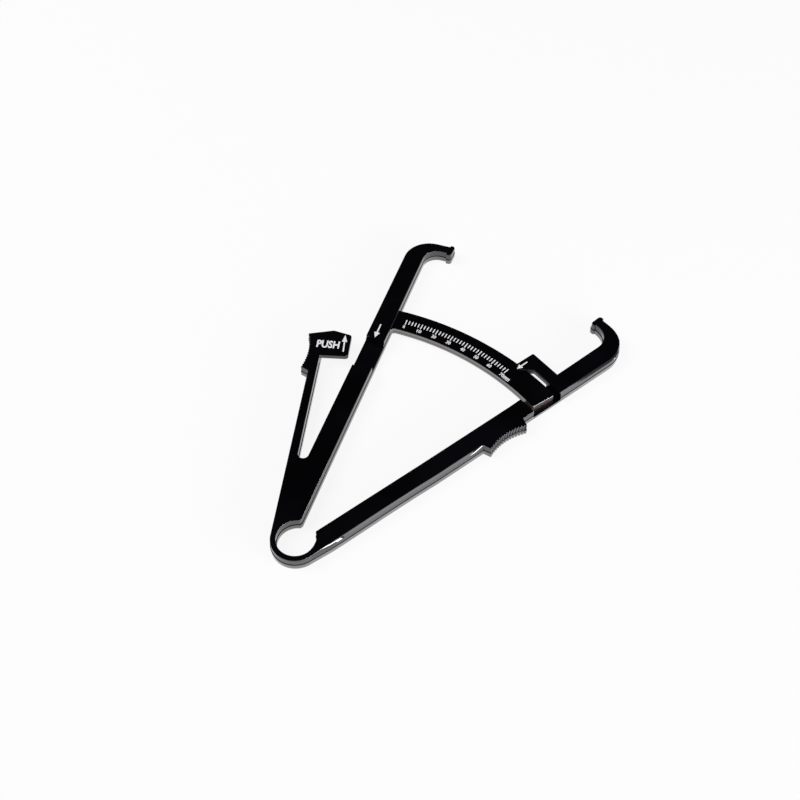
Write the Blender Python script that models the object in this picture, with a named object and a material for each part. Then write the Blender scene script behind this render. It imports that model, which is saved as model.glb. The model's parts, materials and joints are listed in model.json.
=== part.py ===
"""Skinfold caliper with a sprung ring, a curved scale bar and a press lever.

Two flat jaw arms spring apart from a thin open ring. The left arm carries the scale
bar, which passes through a channel in the right arm and under its pointer. A leaf
beside the left arm carries a thumb block, whose thin plate swings into a recess in the
arm when it is pressed. Every piece lies flat on the table, so an outline is drawn in
the flat frame of its own arm: the first value runs along the arm from the centre of
the ring to the jaws, the second away from the other arm.
"""

import math

import bmesh
import bpy
from mathutils import Matrix, Vector

# Overall driving sizes, in metres and radians
THICKNESS = 0.0052
HALF_OPENING = math.radians(16.7)
CLOSING = math.radians(25.9)
LEVER_ANGLE = math.radians(12.0)
DRAFT_INSET = 0.0001
SEAM = 0.0003
SLIDE_GAP = 0.0003
OVERRUN = 0.002
CURVE_STEP = 0.0012
SMALLEST_TURN = math.radians(9.0)

# Sprung ring
RING_BORE = 0.0071
RING_OUTER = 0.0091

# Jaw arms, as offsets from the line through the centre of the ring
LEFT_INNER = 0.0011
LEFT_OUTER = 0.0091
RIGHT_INNER = 0.0023
RIGHT_OUTER = 0.01045
RIGHT_SWELL_END = 0.037
RIGHT_SWELL_SHARES = (0.75, 0.5, 0.25, 0)
RIGHT_FORE_BEFORE_CHANNEL = 0.0059
RIGHT_FORE_INNER = 0.0015
RIGHT_FORE_OUTER = 0.0096
RIGHT_SHOULDER_OUTER = 0.0101

# Hooks and feet of the jaws
ARM_LENGTH = 0.1592
HOOK_WIDTH = 0.0040
HOOK_INNER_ROUND = 0.0066
HOOK_OUTER_ROUND = 0.0125
FOOT_LENGTH = 0.0065
FOOT_BEYOND_HOOK = 0.0016
FOOT_DEPTH = 0.0027
FOOT_FACE_ROUND = 0.0014
FOOT_BACK_ROUND = 0.0010
FOOT_GAP = 0.0003

# Thumb rests: the ribbed hollows on both sides
REST_LENGTH = 0.0174
REST_HOLLOW = 0.0016
REST_HEIGHT = 0.0028
REST_SPUR = 0.0014
REST_RIBS = 13
RIB_DEPTH = 0.00022
GRIP_TO_CHANNEL = 0.0069

# Scale bar
BAR_INNER = 0.1061
BAR_WIDTH = 0.0104
BAR_THICKNESS = 0.0027
BAR_END = math.radians(4.1)
BAR_FLARE = 0.0018

# Channel in the right arm
CHANNEL_ROOM_INNER = 0.0022
CHANNEL_ROOM_OUTER = 0.0020
CHANNEL_FLOOR = 0.0013

# Pointer flag
FLAG_THICKNESS = 0.0006
FLAG_BODY_THICKNESS = 0.0024
FLAG_BAR_ROOM = 0.0003
FLAG_LENGTH = 0.0119
FLAG_WIDTH = 0.0053
FLAG_TAB_CORNER = 0.0038
FLAG_TIP_REACH = 0.0054
FLAG_TIP_BACK = 0.0018
FLAG_TAB_WIDTH = 0.0066
FLAG_ROUND = 0.0006

# Press leaf and thumb block
LEAF_THICKNESS = 0.0032
SLOT_ROUND = 0.0021
BLOCK_START = 0.0762
BLOCK_NECK = 0.0086
BLOCK_SPUR_OFFSET = 0.0021
BLOCK_REST_LIFT = 0.0003
PLATE_START_SKEW = math.radians(3.0)
PLATE_LENGTH = 0.0121
PLATE_CREST_RISE = 0.0019
PLATE_CREST_OUT = 0.0021
PLATE_REACH = 0.0056
PLATE_THICKNESS = 0.0019
PLATE_ROUND = 0.0011

# Recess in the left arm
RECESS_BEFORE_PLATE = 0.0026
RECESS_START_SKEW = math.radians(-6.0)
RECESS_LENGTH = 0.0146
RECESS_END_SKEW = math.radians(8.3)
RECESS_DEPTH = 0.0024
LEDGE_DEPTH = 0.0015
LEDGE_WIDTH = 0.0008

# Colour and finish of the moulded plastic
PLASTIC_COLOUR = (0.012, 0.011, 0.014, 1.0)
PLASTIC_ROUGHNESS = 0.16


def turned(point, angle):
    """Returns a flat point turned about the origin."""
    return Matrix.Rotation(angle, 2) @ Vector(point)


def arc(centre, radius, start, end):
    """Returns the points of an arc, both ends included."""
    turns = abs(end - start)
    steps = max(2, math.ceil(turns / SMALLEST_TURN), math.ceil(turns * radius / CURVE_STEP / 3))
    angles = [start + (end - start) * step / steps for step in range(steps + 1)]
    return [(centre[0] + radius * math.cos(a), centre[1] + radius * math.sin(a)) for a in angles]


def rounded(corners):
    """Returns an outline whose corners (x, y, radius) are replaced by tangent arcs."""
    outline = []
    count = len(corners)
    for index, (x, y, radius) in enumerate(corners):
        here = Vector((x, y))
        if not radius:
            outline.append((x, y))
            continue
        back = (Vector(corners[index - 1][:2]) - here).normalized()
        ahead = (Vector(corners[(index + 1) % count][:2]) - here).normalized()
        half = back.angle(ahead) / 2
        centre = here + (back + ahead).normalized() * (radius / math.sin(half))
        first = here + back * (radius / math.tan(half)) - centre
        last = here + ahead * (radius / math.tan(half)) - centre
        start = math.atan2(first.y, first.x)
        turn = (math.atan2(last.y, last.x) - start + math.pi) % math.tau - math.pi
        outline += arc(centre, radius, start, start + turn)
    return outline


def thumb_rest(start, end, hollow):
    """Returns a ribbed hollow curve from start to end, cut to the given depth.

    Args:
        start: First end of the hollow.
        end: Last end of the hollow.
        hollow: Depth at the middle, to the right of the way from start to end.
    """
    start, end = Vector(start), Vector(end)
    chord = end - start
    inward = Vector((chord.y, -chord.x)).normalized()
    points = []
    steps = 2 * REST_RIBS
    for step in range(steps + 1):
        share = step / steps
        depth = 4 * hollow * share * (1 - share)
        groove = RIB_DEPTH if step % 2 else 0
        points.append(tuple(start + chord * share + inward * (depth + groove)))
    return points


def inset_outline(outline, inset):
    """Returns the outline moved inward by the inset, corner by corner."""
    area = sum(a[0] * b[1] - b[0] * a[1] for a, b in zip(outline, outline[1:] + outline[:1]))
    side = 1 if area > 0 else -1
    moved = []
    for index, point in enumerate(outline):
        here = Vector(point)
        before = (here - Vector(outline[index - 1])).normalized()
        after = (Vector(outline[(index + 1) % len(outline)]) - here).normalized()
        normal = Vector((-before.y - after.y, before.x + after.x)).normalized() * side
        across = max(normal.dot(Vector((-before.y, before.x)) * side), 0.5)
        moved.append(tuple(here + normal * (inset / across)))
    return moved


def plastic(name):
    """Returns the glossy black plastic of one piece."""
    material = bpy.data.materials.new(name)
    material.use_nodes = True
    shader = material.node_tree.nodes["Principled BSDF"]
    shader.inputs["Base Color"].default_value = PLASTIC_COLOUR
    shader.inputs["Roughness"].default_value = PLASTIC_ROUGHNESS
    shader.inputs["Metallic"].default_value = 0.0
    return material


def prism(name, outline, bottom, top, parent, draft=DRAFT_INSET):
    """Makes a flat piece whose wall leans in on both sides of a parting line.

    Args:
        name: Name of the object.
        outline: Outline at the parting line, in the parent's flat frame.
        bottom: Height of the underside.
        top: Height of the top.
        parent: Empty on whose axis the piece turns.
        draft: Inset of the top and bottom edges from the parting line.
    """
    mesh = bmesh.new()
    rings = []
    for height, inset in ((bottom, draft), ((bottom + top) / 2, 0), (top, draft)):
        points = inset_outline(outline, inset) if inset else outline
        rings.append([mesh.verts.new((x, y, height)) for x, y in points])
    for lower, upper in zip(rings, rings[1:]):
        for index, vertex in enumerate(lower):
            beyond = (index + 1) % len(lower)
            mesh.faces.new((vertex, lower[beyond], upper[beyond], upper[index]))
    mesh.faces.new(rings[0])
    mesh.faces.new(rings[-1])
    bmesh.ops.recalc_face_normals(mesh, faces=mesh.faces)
    data = bpy.data.meshes.new(name)
    mesh.to_mesh(data)
    mesh.free()
    data.materials.append(plastic(name))
    piece = bpy.data.objects.new(name, data)
    bpy.context.collection.objects.link(piece)
    piece.parent = parent
    return piece


def cut(piece, name, outline, bottom, top):
    """Cuts a straight-walled prism out of a piece."""
    cutter = prism(name, outline, bottom, top, piece.parent, draft=0)
    cutter.hide_render = True
    cutter.display_type = "WIRE"
    modifier = piece.modifiers.new(name, "BOOLEAN")
    modifier.operation = "DIFFERENCE"
    modifier.solver = "EXACT"
    modifier.object = cutter


def joint_axis(name, place, angle, parent):
    """Makes the empty on whose vertical axis pieces turn."""
    empty = bpy.data.objects.new(name, None)
    bpy.context.collection.objects.link(empty)
    empty.location = (place[0], place[1], 0)
    empty.rotation_euler.z = angle
    empty.parent = parent
    return empty


def mirrored(outline):
    """Returns an outline with its outward side on the right of the way along."""
    return [(along, -out) for along, out in outline]


def foot_corners():
    """Returns the corners of a jaw's foot, from the neck's inner side round to its outer."""
    lean = HALF_OPENING - CLOSING / 2
    back = FOOT_GAP / 2
    far = ARM_LENGTH + FOOT_BEYOND_HOOK
    shape = (
        (far - FOOT_LENGTH, back + FOOT_DEPTH, FOOT_BACK_ROUND),
        (far - FOOT_LENGTH, back, FOOT_FACE_ROUND),
        (far, back, FOOT_FACE_ROUND),
        (far, back + FOOT_DEPTH, FOOT_BACK_ROUND),
    )
    return [(*turned((along, out), -lean), radius) for along, out, radius in shape]


def jaw_corners(inner, outer):
    """Returns the corners of a hook and its foot, from the inner edge to the outer edge."""
    foot = foot_corners()
    hook_inner = ARM_LENGTH - HOOK_WIDTH
    return [
        (hook_inner, inner, HOOK_INNER_ROUND),
        (hook_inner, foot[0][1], 0),
        *foot,
        (ARM_LENGTH, foot[-1][1], 0),
        (ARM_LENGTH, outer, HOOK_OUTER_ROUND),
    ]


def channel_walls():
    """Returns how far along the right arm the channel's two walls lie."""
    return BAR_INNER - CHANNEL_ROOM_INNER, BAR_INNER + BAR_WIDTH + CHANNEL_ROOM_OUTER


def slot_centre():
    """Returns the centre of the slot's round end, in the left arm's frame."""
    out = LEFT_OUTER + SLOT_ROUND
    leaf_side = RING_OUTER - LEAF_THICKNESS - SLOT_ROUND
    return (out * math.cos(LEVER_ANGLE) - leaf_side) / math.sin(LEVER_ANGLE), out


def leaf_root():
    """Returns how far along the leaf its root lies, in the lever's frame."""
    return turned(slot_centre(), -LEVER_ANGLE).x


def make_left_arm(frame):
    """Makes the left arm with its hub, hook, slot end and recess."""
    root = leaf_root()
    corner = math.asin(LEFT_INNER / RING_BORE)
    seat = math.pi / 2 + LEVER_ANGLE
    leaf_inner = RING_OUTER - LEAF_THICKNESS
    hub_back = turned((0, RING_OUTER), LEVER_ANGLE)
    leaf_outer = turned((root, RING_OUTER), LEVER_ANGLE)
    leaf_seat = turned((root, leaf_inner), LEVER_ANGLE)
    outline = [tuple(hub_back), tuple(leaf_outer), tuple(leaf_seat)]
    outline += arc(slot_centre(), SLOT_ROUND, seat, 3 * math.pi / 2)[1:]
    jaw = rounded([
        (0, LEFT_INNER, 0),
        *jaw_corners(LEFT_INNER, LEFT_OUTER),
        (0, LEFT_OUTER, 0),
    ])
    outline += list(reversed(jaw[1:-1]))
    outline += arc((0, 0), RING_BORE, corner, seat)
    arm = prism("left_arm", outline, 0, THICKNESS, frame)
    sides = (-OVERRUN, LEFT_OUTER + OVERRUN)
    start = BLOCK_START + BLOCK_NECK - RECESS_BEFORE_PLATE
    end = start + RECESS_LENGTH
    lower = [start + side * math.tan(RECESS_START_SKEW) for side in sides]
    upper = [end + side * math.tan(RECESS_END_SKEW) for side in sides]
    depths = ((LEDGE_DEPTH, 0), (RECESS_DEPTH, LEDGE_WIDTH))
    for index, (depth, ledge) in enumerate(depths):
        shape = (
            (lower[0], sides[0]),
            (upper[0] - ledge, sides[0]),
            (upper[1] - ledge, sides[1]),
            (lower[1], sides[1]),
        )
        cut(arm, f"recess_cutter_{index}", shape, THICKNESS - depth, THICKNESS + OVERRUN)


def make_scale_bar(frame):
    """Makes the curved bar that the scale is printed on."""
    wall = LEFT_INNER - SEAM
    end = -2 * HALF_OPENING - BAR_END
    bar_outer = BAR_INNER + BAR_WIDTH
    outer_start = math.asin(wall / bar_outer)
    flare_start = math.asin((wall - BAR_FLARE) / BAR_INNER)
    outline = arc((0, 0), bar_outer, outer_start, end)
    outline += arc((0, 0), BAR_INNER, end, flare_start)
    outline.append((BAR_INNER - BAR_FLARE, wall))
    top = THICKNESS - FLAG_THICKNESS - SLIDE_GAP
    prism("scale_bar", outline, top - BAR_THICKNESS, top, frame)


def make_hinge_ring(frame):
    """Makes the thin open ring that the two arms spring from."""
    left_end = math.pi / 2 + LEVER_ANGLE + SEAM / RING_BORE
    right_end = 3 * math.pi / 2 - 2 * HALF_OPENING - SEAM / RING_BORE
    outline = arc((0, 0), RING_OUTER, left_end, right_end)
    outline += arc((0, 0), RING_BORE, right_end, left_end)
    prism("hinge_ring", outline, 0, THICKNESS, frame)


def make_right_arm(frame):
    """Makes the right arm with its thumb rest, channel and hook."""
    corner = math.asin(RIGHT_INNER / RING_BORE)
    crest = RIGHT_OUTER + REST_HEIGHT
    near_wall, far_wall = channel_walls()
    grip_end = near_wall - GRIP_TO_CHANNEL
    grip_start = grip_end - REST_LENGTH
    outline = arc((0, 0), RING_BORE, math.pi / 2, corner)
    outline += rounded([
        (near_wall - RIGHT_FORE_BEFORE_CHANNEL, RIGHT_INNER, 0),
        *jaw_corners(RIGHT_FORE_INNER, RIGHT_FORE_OUTER),
        (far_wall, RIGHT_FORE_OUTER, 0),
        (near_wall, RIGHT_SHOULDER_OUTER, 0),
        (grip_end + REST_SPUR, RIGHT_SHOULDER_OUTER, 0),
    ])
    outline += thumb_rest((grip_end, crest), (grip_start, crest), -REST_HOLLOW)
    outline += [
        (grip_start - REST_SPUR, RIGHT_OUTER),
        (RIGHT_SWELL_END, RIGHT_OUTER),
    ]
    rise = RIGHT_OUTER - RING_OUTER
    for share in RIGHT_SWELL_SHARES:
        outline.append((RIGHT_SWELL_END * share, RING_OUTER + rise * math.sin(share * math.pi / 2)))
    arm = prism("right_arm", mirrored(outline), 0, THICKNESS, frame)
    reach = RIGHT_OUTER + OVERRUN
    channel = (
        (near_wall, -OVERRUN),
        (far_wall, -OVERRUN),
        (far_wall, reach),
        (near_wall, reach),
    )
    cut(arm, "channel_cutter", mirrored(channel), CHANNEL_FLOOR, THICKNESS + OVERRUN)


def make_pointer_flag(frame):
    """Makes the flag, thick beyond the bar, whose thin tab stands over the scale."""
    near_wall, far_wall = channel_walls()
    far = far_wall + FLAG_WIDTH
    fore_start = near_wall - RIGHT_FORE_BEFORE_CHANNEL
    fore_share = (far - fore_start) / (ARM_LENGTH - HOOK_WIDTH - fore_start)
    inner_edge = RIGHT_INNER + (RIGHT_FORE_INNER - RIGHT_INNER) * fore_share - SEAM
    tip = far_wall - FLAG_TIP_REACH
    outline = rounded([
        (far, inner_edge, 0),
        (far, -FLAG_LENGTH, FLAG_ROUND),
        (far_wall - FLAG_TAB_CORNER, -FLAG_LENGTH, 0),
        (tip, FLAG_TIP_BACK - FLAG_LENGTH, 0),
        (far_wall, FLAG_TAB_WIDTH - FLAG_LENGTH, FLAG_ROUND),
        (far_wall, inner_edge, 0),
    ])
    body_bottom = THICKNESS - FLAG_BODY_THICKNESS
    flag = prism("pointer_flag", mirrored(outline), body_bottom, THICKNESS, frame, draft=0)
    clear = BAR_INNER + BAR_WIDTH + FLAG_BAR_ROOM
    reach = FLAG_LENGTH + OVERRUN
    beyond = RIGHT_INNER + OVERRUN
    passage = arc((0, 0), clear, -math.asin(reach / clear), math.asin(beyond / clear))
    passage += [(near_wall, beyond), (near_wall, -reach)]
    cut(flag, "passage_cutter", mirrored(passage), 0, THICKNESS - FLAG_THICKNESS)


def leaf_frame_points(outline, root, middle):
    """Returns an outline moved so that the leaf's root is the origin."""
    return [(along - root, out - middle) for along, out in outline]


def make_press_lever(frame, root, middle):
    """Makes the leaf and the thumb block with its thin plate."""
    inner = RING_OUTER - LEAF_THICKNESS
    leaf = [
        (root + SEAM, inner),
        (BLOCK_START - SEAM, inner),
        (BLOCK_START - SEAM, RING_OUTER),
        (root + SEAM, RING_OUTER),
    ]
    prism("press_leaf", leaf_frame_points(leaf, root, middle), 0, THICKNESS, frame)
    crest = RING_OUTER + REST_HEIGHT + BLOCK_REST_LIFT
    plate_start = BLOCK_START + BLOCK_NECK
    plate_corner = plate_start + (inner + PLATE_REACH) * math.tan(PLATE_START_SKEW)
    plate_end = plate_start + PLATE_LENGTH
    plate_crest = plate_end + PLATE_CREST_RISE
    outline = rounded([
        (BLOCK_START, inner, 0),
        (plate_start, inner, 0),
        (plate_corner, -PLATE_REACH, PLATE_ROUND),
        (plate_end, -PLATE_REACH, PLATE_ROUND),
        (plate_crest, PLATE_CREST_OUT, PLATE_ROUND),
    ])
    rest_start = BLOCK_START + BLOCK_SPUR_OFFSET
    rest_end = rest_start + REST_LENGTH
    outline += thumb_rest((rest_end, crest), (rest_start, crest), -REST_HOLLOW)
    outline += [(rest_start - REST_SPUR, RING_OUTER), (BLOCK_START, RING_OUTER)]
    block = prism("press_block", leaf_frame_points(outline, root, middle), 0, THICKNESS, frame)
    far = plate_crest + OVERRUN
    below_plate = (
        (plate_start - OVERRUN, inner),
        (plate_start - OVERRUN, -PLATE_REACH - OVERRUN),
        (far, -PLATE_REACH - OVERRUN),
        (far, inner),
    )
    floor = THICKNESS - PLATE_THICKNESS
    cut(block, "plate_cutter", leaf_frame_points(below_plate, root, middle), -OVERRUN, floor)


def stand_on_centre(base):
    """Moves the whole caliper so that the middle of its footprint is at the origin."""
    bpy.context.view_layer.update()
    pieces = [piece for piece in bpy.data.objects if piece.type == "MESH" and not piece.hide_render]
    corners = [piece.matrix_world @ Vector(corner) for piece in pieces for corner in piece.bound_box]
    for axis in range(2):
        places = [corner[axis] for corner in corners]
        base.location[axis] = -(min(places) + max(places)) / 2


def main():
    """Builds the caliper with its jaws open and its lever released."""
    for thing in list(bpy.data.objects):
        bpy.data.objects.remove(thing, do_unlink=True)
    base = joint_axis("caliper", (0, 0), 0, None)
    left = joint_axis("left_frame", (0, 0), math.pi / 2 + HALF_OPENING, base)
    right = joint_axis("arm_hinge", (0, 0), math.pi / 2 - HALF_OPENING, base)
    root = leaf_root()
    middle = RING_OUTER - LEAF_THICKNESS / 2
    lever = joint_axis("press_hinge", turned((root, middle), LEVER_ANGLE), LEVER_ANGLE, left)
    make_left_arm(left)
    make_scale_bar(left)
    make_hinge_ring(left)
    make_right_arm(right)
    make_pointer_flag(right)
    make_press_lever(lever, root, middle)
    stand_on_centre(base)


main()
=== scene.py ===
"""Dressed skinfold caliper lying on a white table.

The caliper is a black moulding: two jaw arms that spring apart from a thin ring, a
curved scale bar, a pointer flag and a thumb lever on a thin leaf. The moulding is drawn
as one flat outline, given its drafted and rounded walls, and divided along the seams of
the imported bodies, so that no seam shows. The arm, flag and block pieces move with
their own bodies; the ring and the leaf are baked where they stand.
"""

from __future__ import annotations

import json
import logging
import math
from dataclasses import dataclass, field
from enum import Enum
from typing import Sequence

import bmesh
import bpy
from mathutils import Matrix, Vector

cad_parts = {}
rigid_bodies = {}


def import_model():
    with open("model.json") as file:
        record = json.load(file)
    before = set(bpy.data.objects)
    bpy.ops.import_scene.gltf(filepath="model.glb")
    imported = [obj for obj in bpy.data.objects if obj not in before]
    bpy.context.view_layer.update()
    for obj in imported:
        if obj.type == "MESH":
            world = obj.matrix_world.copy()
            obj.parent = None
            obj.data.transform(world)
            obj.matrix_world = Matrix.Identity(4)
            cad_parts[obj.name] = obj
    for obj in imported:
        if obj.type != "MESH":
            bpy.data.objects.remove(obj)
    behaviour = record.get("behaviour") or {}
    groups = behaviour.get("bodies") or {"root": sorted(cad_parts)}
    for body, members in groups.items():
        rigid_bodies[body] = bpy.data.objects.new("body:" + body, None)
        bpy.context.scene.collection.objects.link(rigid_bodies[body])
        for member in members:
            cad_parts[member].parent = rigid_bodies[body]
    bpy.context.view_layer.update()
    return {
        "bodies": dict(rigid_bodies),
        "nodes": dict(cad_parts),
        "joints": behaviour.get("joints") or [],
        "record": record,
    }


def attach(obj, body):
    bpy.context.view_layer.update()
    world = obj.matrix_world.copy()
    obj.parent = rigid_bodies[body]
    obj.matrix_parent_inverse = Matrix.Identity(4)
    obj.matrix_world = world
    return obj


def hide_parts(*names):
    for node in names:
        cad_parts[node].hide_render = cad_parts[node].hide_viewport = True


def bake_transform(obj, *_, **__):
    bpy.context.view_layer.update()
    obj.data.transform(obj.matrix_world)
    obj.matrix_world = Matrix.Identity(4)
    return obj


LOG = logging.getLogger("caliper")
MM = 0.001
MOULDING_TOP = 5.18 * MM
BAR_TOP = 4.35 * MM
LEFT_INNER = 1.1
HALF_OPENING = math.radians(16.7)
LEVER_ANGLE = math.radians(12.0)
MERGE_DISTANCE = 1e-7
SHARP_ANGLE = math.radians(36)
STEEPEST_TOP = 0.9
FLAT_CAP = 0.995

Point = tuple[float, float]
Triple = tuple[float, float, float]
Colour = tuple[float, float, float]
Mesh = bmesh.types.BMesh
Socket = bpy.types.NodeSocket
Tree = bpy.types.NodeTree
Material = bpy.types.Material


class Body(Enum):
    """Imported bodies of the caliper."""

    LEFT = "left"
    RIGHT = "right"
    LEVER = "lever"


class Part(Enum):
    """Pieces that the moulding's outline is divided into."""

    LEFT_ARM = "left_arm"
    HINGE_RING = "hinge_ring"
    RIGHT_ARM = "right_arm"
    POINTER_FLAG = "pointer_flag"
    PRESS_LEAF = "press_leaf"
    PRESS_BLOCK = "press_block"


class Skin(Enum):
    """Material slots of every moulded piece, in slot order."""

    TOP = 0
    WALL = 1


@dataclass(frozen=True)
class ArmFrame:
    """Flat frame of one arm: along it from the ring, and outwards from the other arm.

    Attributes:
        origin: Where the frame stands, in metres.
        yaw: Direction of the arm, in radians from +X.
        side: 1 where outwards is on the left of the way along, and -1 on the right.
    """

    origin: Point
    yaw: float
    side: int = 1

    @property
    def ahead(self) -> Vector:
        """Unit vector along the arm."""
        return Vector((math.cos(self.yaw), math.sin(self.yaw)))

    @property
    def outward(self) -> Vector:
        """Unit vector that points away from the other arm."""
        return Vector((-self.ahead.y, self.ahead.x)) * self.side

    def place(self, along: float, out: float) -> Point:
        """Finds a point of the table plane.

        Args:
            along: How far along the arm it lies, in millimetres.
            out: How far outwards it lies, in millimetres.

        Returns:
            The point, in metres.
        """
        spot = Vector(self.origin) + (self.ahead * along + self.outward * out) * MM
        return spot.x, spot.y

    def matrix(self, along: float, out: float, height: float) -> Matrix:
        """Places a mark that reads with its top towards the jaws.

        Args:
            along: How far along the arm it lies, in millimetres.
            out: How far outwards it lies, in millimetres.
            height: How high it lies, in metres.

        Returns:
            Its placing.
        """
        x, y = self.place(along, out)
        turn = Matrix.Rotation(self.yaw - math.pi / 2, 4, "Z")
        return Matrix.Translation((x, y, height)) @ turn


@dataclass(frozen=True)
class Corner:
    """A corner of an outline in an arm's frame, in millimetres."""

    along: float
    out: float
    radius: float = 0.0


def only(geometry: Sequence, kind: type) -> list:
    """Returns the elements of one kind."""
    return [item for item in geometry if isinstance(item, kind)]


class OutlinePen:
    """Draws a closed flat outline with bmesh operators, in metres.

    Args:
        start: First point of the outline.

    Attributes:
        fewest_steps: Fewest edges in a rounded corner.
        step_turn: Most that one of them turns, in radians.
    """

    fewest_steps = 3
    step_turn = math.radians(9)

    def __init__(self, start: Point) -> None:
        """Starts the outline.

        Args:
            start: Its first point, in metres.
        """
        self.mesh = bmesh.new()
        self.first = self.mesh.verts.new((*start, 0.0))
        self.last = self.first
        self.marks: dict[str, bmesh.types.BMVert] = {}

    def mark(self, name: str) -> None:
        """Remembers the last vertex by name, as one end of a seam."""
        self.marks[name] = self.last

    def line(self, point: Point, steps: int = 1) -> None:
        """Draws a straight edge in equal steps.

        Args:
            point: End of the edge, in metres.
            steps: Edges that it is drawn in.
        """
        start = self.last.co.copy()
        goal = Vector((*point, 0.0))
        for step in range(1, steps + 1):
            made = bmesh.ops.extrude_vert_indiv(self.mesh, verts=[self.last])
            self.last = made["verts"][0]
            self.last.co = start.lerp(goal, step / steps)

    def sweep(self, centre: Point, turn: float, steps: int) -> None:
        """Draws an arc from the last vertex.

        Args:
            centre: Centre of the arc, in metres.
            turn: Its signed angle, in radians.
            steps: Edges that it is drawn in.
        """
        made = bmesh.ops.spin(
            self.mesh,
            geom=[self.last],
            cent=(*centre, 0.0),
            axis=(0, 0, 1),
            angle=turn,
            steps=steps,
        )
        self.last = only(made["geom_last"], bmesh.types.BMVert)[0]

    def corners(self, frame: ArmFrame, corners: Sequence[Corner]) -> None:
        """Draws straight edges through corners, rounding those that have a radius.

        The last vertex is the corner before the first, and the last corner is plain.

        Args:
            frame: Arm frame that the corners are given in.
            corners: The corners in order.
        """
        spots = [self.last.co.xy.copy()]
        spots += [Vector(frame.place(corner.along, corner.out)) for corner in corners]
        for index, corner in enumerate(corners, start=1):
            here = spots[index]
            if not corner.radius:
                self.line(tuple(here))
                continue
            back = (spots[index - 1] - here).normalized()
            ahead = (spots[index + 1] - here).normalized()
            half = back.angle(ahead) / 2
            radius = corner.radius * MM
            tangent = here + back * (radius / math.tan(half))
            centre = here + (back + ahead).normalized() * (radius / math.sin(half))
            turn = math.pi - 2 * half
            if back.cross(ahead) > 0:
                turn = -turn
            self.line(tuple(tangent))
            steps = max(self.fewest_steps, math.ceil(abs(turn) / self.step_turn))
            self.sweep(tuple(centre), turn, steps)

    def bulge(self, goal: Point, sagitta: float, steps: int) -> None:
        """Draws an arc to a goal that bulges to the right of the way there.

        Args:
            goal: End of the arc, in metres.
            sagitta: Height of the bulge over its chord, in metres.
            steps: Edges in the arc.
        """
        start = self.last.co.xy.copy()
        chord = Vector(goal) - start
        radius = (chord.length_squared / 4 + sagitta**2) / (2 * sagitta)
        inward = Vector((-chord.y, chord.x)).normalized()
        centre = start + chord / 2 + inward * (radius - sagitta)
        self.sweep(tuple(centre), 2 * math.asin(chord.length / 2 / radius), steps)

    def fill(self) -> Mesh:
        """Closes the outline and fills it with one face that looks up.

        Returns:
            The flat mesh.
        """
        bmesh.ops.contextual_create(self.mesh, geom=[self.last, self.first])
        bmesh.ops.remove_doubles(self.mesh, verts=self.mesh.verts[:], dist=MERGE_DISTANCE)
        bmesh.ops.contextual_create(self.mesh, geom=self.mesh.edges[:])
        for face in self.mesh.faces:
            face.normal_update()
            if face.normal.z < 0:
                face.normal_flip()
        return self.mesh


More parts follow.
